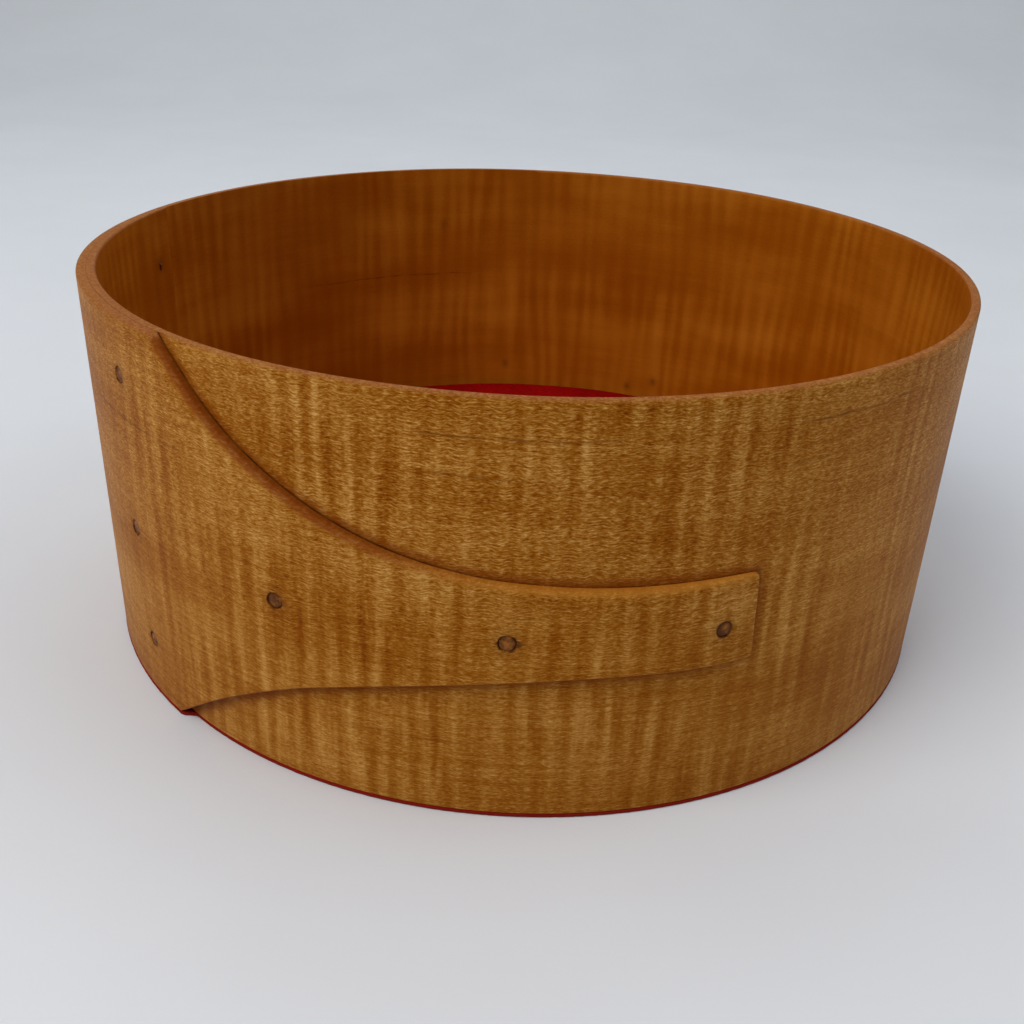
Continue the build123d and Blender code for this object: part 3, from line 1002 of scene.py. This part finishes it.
def curly_maple():
    """Oiled curly maple: soft curl stripes across the strip, short flecks along it, stained edges."""
    wood = Maple()
    colour = wood.ramp(wood.figure(), *WOOD_TONES)
    for line in MINERAL_LINES:
        colour = wood.mineral_line(colour, *line)
    colour = wood.inside_marks(colour)
    deep = wood.mix(1.0, colour, INSIDE_TINT, "MULTIPLY")
    colour = wood.mix(wood.times(wood.inside, 0.9), colour, deep)
    colour = wood.edges(colour)
    colour = wood.finger_stains_and_shade(colour)
    colour = wood.tack_stains_and_shade(colour)
    depths = ((wood.flecks, 0.03 * MM), (wood.wave, 0.01 * MM), (wood.grit, 0.012 * MM))
    relief = wood.plus(*[wood.times(part, depth) for part, depth in depths])
    return wood.surface(
        Base_Color=colour,
        Roughness=wood.remap(wood.flecks, 0.3, 0.7, 0.52, 0.42),
        Specular_IOR_Level=WOOD_SPECULAR,
        Normal=wood.bump(relief, 0.6),
    )


def aged_copper():
    """Copper gone brown, brighter where it is rubbed, darkest round the edge of the head."""
    copper = Painter(bpy.data.materials.new("aged_copper"))
    rim = copper.attribute("rim")
    place = copper.attribute("head", "Vector")
    patches = copper.noise(place, 3.0, 0.6, scale=1 / (1.3 * MM))
    grit = copper.noise(place, 2.0, 0.6, scale=1 / (0.16 * MM))
    worn = copper.plus(patches, copper.times(rim, -0.12))
    worn = copper.math("SUBTRACT", worn, copper.attribute("tarnish"))
    colour = copper.ramp(worn, (0.3, COPPER_DARK), (0.62, COPPER_BRIGHT))
    edge = copper.remap(rim, 0.8, 1.0, 0.0, 0.4, smooth=True)
    colour = copper.mix(edge, colour, COPPER_DARK)
    relief = copper.plus(copper.times(patches, 0.05 * MM), copper.times(grit, 0.012 * MM))
    return copper.surface(
        Base_Color=colour,
        Metallic=copper.remap(patches, 0.3, 0.7, 0.05, 0.25),
        Roughness=copper.remap(patches, 0.3, 0.7, 0.62, 0.42),
        Specular_IOR_Level=0.1,
        Normal=copper.bump(relief, 0.8),
    )


def red_felt():
    """Pressed wool felt: fine matted fibres, slightly mottled, and darker towards the table, where it is
    pressed and where painted contact shade is added.
    """
    felt = Painter(bpy.data.materials.new("red_felt"))
    place = felt.add("ShaderNodeTexCoord", {}, "Object")
    x, y, z = felt.split(place)
    mottle = felt.noise(place, 2.0, 0.6, scale=1 / (9 * MM))
    lint = felt.noise(place, 4.0, 0.75, scale=1 / (0.9 * MM), distortion=1.5)
    bend = felt.noise(place, 1.0, scale=1 / (3 * MM))
    slant = felt.plus(felt.times(x, 0.8), felt.times(y, 0.6))
    across = felt.plus(felt.times(x, -0.6), felt.times(y, 0.8))
    fibre_place = felt.join(
        felt.plus(felt.times(slant, 1 / (1.4 * MM)), felt.times(bend, 3.0)),
        felt.plus(felt.times(across, 1 / (0.16 * MM)), felt.times(bend, 9.0)),
        felt.times(z, 1 / (0.2 * MM)),
    )
    fibres = felt.noise(fibre_place, 2.0, 0.6)
    matted = felt.plus(felt.times(lint, 0.55), felt.times(fibres, 0.45))
    tone = felt.plus(matted, felt.centred(mottle, 0.3))
    colour = felt.ramp(tone, (0.3, FELT_DARK), (0.55, FELT_RED), (0.8, FELT_LIGHT))
    # Darker towards the underside: pressed felt, with painted contact shade where it meets the table
    pressed_and_shaded = felt.remap(z, 0.3 * MM, 1.5 * FOOT_TOP, 0.65, 0.0)
    colour = felt.mix(pressed_and_shaded, colour, FELT_PRESSED_AND_SHADED)
    return felt.surface(
        Base_Color=colour,
        Roughness=0.95,
        Specular_IOR_Level=0.05,
        Sheen_Weight=0.03,
        Sheen_Roughness=0.5,
        Sheen_Tint=(1.0, 0.1, 0.08, 1.0),
        Normal=felt.bump(felt.times(matted, 0.25 * MM), 0.9),
    )


def base_wood():
    """Plain straight-grained softwood for the hidden bottom disc."""
    wood = Painter(bpy.data.materials.new("base_wood"))
    x, y, z = wood.split(wood.add("ShaderNodeTexCoord", {}, "Object"))
    sway = wood.noise(wood.stretched((x, y), (60 * MM, 25 * MM)), 1.0)
    rings = wood.plus(wood.times(sway, 3.0), wood.times(z, 60.0), wood.times(y, 1 / (4.5 * MM)))
    growth = wood.plus(wood.times(wood.math("SINE", wood.times(rings, 2 * math.pi)), 0.25), 0.5)
    pores = wood.noise(wood.stretched((x, y, z), (4 * MM, 0.25 * MM, 0.5 * MM)), 2.0)
    tone = wood.plus(growth, wood.centred(pores, 0.8))
    colour = wood.ramp(tone, (0.1, BASE_DARK), (0.9, BASE_LIGHT))
    return wood.surface(
        Base_Color=colour,
        Roughness=wood.remap(pores, 0.3, 0.7, 0.7, 0.55),
        Specular_IOR_Level=0.3,
        Normal=wood.bump(wood.times(pores, 0.05 * MM), 0.6),
    )


def pale_surface(name, light, dark):
    """A plain painted table top or wall, very slightly uneven."""
    paint = Painter(bpy.data.materials.new(name))
    place = paint.add("ShaderNodeTexCoord", {}, "Object")
    patches = paint.noise(place, 3.0, 0.6, scale=9.0)
    colour = paint.ramp(patches, (0.3, dark), (0.7, light))
    fine = paint.noise(place, 2.0, 0.5, scale=900.0)
    return paint.surface(
        Base_Color=colour,
        Roughness=0.6,
        Specular_IOR_Level=0.2,
        Normal=paint.bump(paint.times(fine, 0.05 * MM), 0.5),
    )


def backdrop():
    """A pale table that sweeps up into a wall far behind the object."""
    straight = [(y, 0.0) for y in np.linspace(-FLOOR_REACH, SWEEP_START, SWEEP_POINTS)]
    turns = np.radians(np.linspace(0, SWEEP_ANGLE, SWEEP_POINTS)[1:])
    sweep = [(SWEEP_START + SWEEP_RADIUS * math.sin(a), SWEEP_RADIUS * (1 - math.cos(a))) for a in turns]
    slope = math.radians(SWEEP_ANGLE)
    top_y, top_z = sweep[-1]
    rise = [(top_y + d * math.cos(slope), top_z + d * math.sin(slope)) for d in (0.4, 0.8, 1.2)]
    profile = straight + sweep + rise
    points = [(x, y, z) for y, z in profile for x in (-FLOOR_REACH, FLOOR_REACH)]
    faces = [(2 * i, 2 * i + 1, 2 * i + 3, 2 * i + 2) for i in range(len(profile) - 1)]
    mesh = bpy.data.meshes.new("backdrop")
    mesh.from_pydata(points, [], faces)
    mesh.shade_smooth()
    sheet = add_object("backdrop", mesh)
    mesh.materials.append(pale_surface("pale_table", TABLE_LIGHT, TABLE_DARK))


def softbox(name, place, aim, size, power, colour):
    """A round area light pointed at a place."""
    light = bpy.data.lights.new(name, "AREA")
    light.shape = "DISK"
    light.size = size
    light.energy = power
    light.color = colour
    lamp = add_object(name, light)
    lamp.location = place
    lamp.rotation_euler = (Vector(aim) - Vector(place)).to_track_quat("-Z", "Y").to_euler()


def room_light():
    """Soft light from all round: pale behind and overhead, darker in front."""
    world = bpy.data.worlds.new("room")
    bpy.context.scene.world = world
    room = Painter(world)
    depth = room.split(room.add("ShaderNodeTexCoord", {}, "Generated"))[1]
    colour = room.mix(room.remap(depth, *ROOM_BLEND, smooth=True), ROOM_FRONT, ROOM_BACK)
    glow = room.add("ShaderNodeBackground", {0: colour, 1: ROOM_STRENGTH})
    room.add("ShaderNodeOutputWorld", {0: glow})


def camera():
    """The camera in front of the box and above it, turned by its yaw, pitch and roll."""
    data = bpy.data.cameras.new("camera")
    data.lens = LENS
    data.sensor_width = SENSOR_WIDTH
    data.clip_start = NEAREST
    data.clip_end = FARTHEST
    eye = add_object("camera", data)
    down = math.atan2(CAMERA_HEIGHT - 0.5 * RIM, CAMERA_BACK)
    forward = Vector((0, math.cos(down), -math.sin(down)))
    right = Vector((1, 0, 0))
    level = Matrix((right, right.cross(forward), forward))
    swing = Matrix.Rotation(math.radians(CAMERA_YAW), 3, "Y")
    tip = Matrix.Rotation(math.radians(-CAMERA_PITCH), 3, "X")
    roll = Matrix.Rotation(math.radians(CAMERA_ROLL), 3, "Z")
    turned = roll @ tip @ swing @ level
    eye.matrix_world = Matrix((turned[0], turned[1], -turned[2])).transposed().to_4x4()
    eye.location = (0, -CAMERA_BACK, CAMERA_HEIGHT)
    bpy.context.scene.camera = eye


def settle(piece, material, slot, *nodes):
    """Gives a piece its material, rides it on the one body and hides the CAD nodes it stands in for."""
    piece.data.materials.append(material)
    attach(piece, "root")
    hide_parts(*nodes)


def build_box():
    """Every piece with its material, in place of its CAD node, or the CAD node with a material."""
    maple = curly_maple()
    copper = aged_copper()
    felt = red_felt()
    settle(band(), maple, "curly_maple", "band")
    for name in TACK_NAMES:
        settle(tack(name), copper, "aged_copper", name)
    low, high = FLOOR_FELT_LOW.z, FLOOR_FELT_HIGH.z
    floor = felt_disc("floor_felt_disc", floor_felt_outline, low, high, FELT_UNEVENNESS)
    settle(floor, felt, "red_felt", "floor_felt")
    foot = felt_disc("foot_felt_disc", foot_felt_outline, 0.0, FOOT_TOP, 0.0)
    settle(foot, felt, "red_felt", "foot_felt")
    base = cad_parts["base_disc"]
    base.data.materials.clear()
    base.data.materials.append(base_wood())


build_box()
backdrop()
for box in SOFTBOXES:
    softbox(*box)
room_light()
camera()
bpy.context.scene.view_settings.view_transform = "Standard"
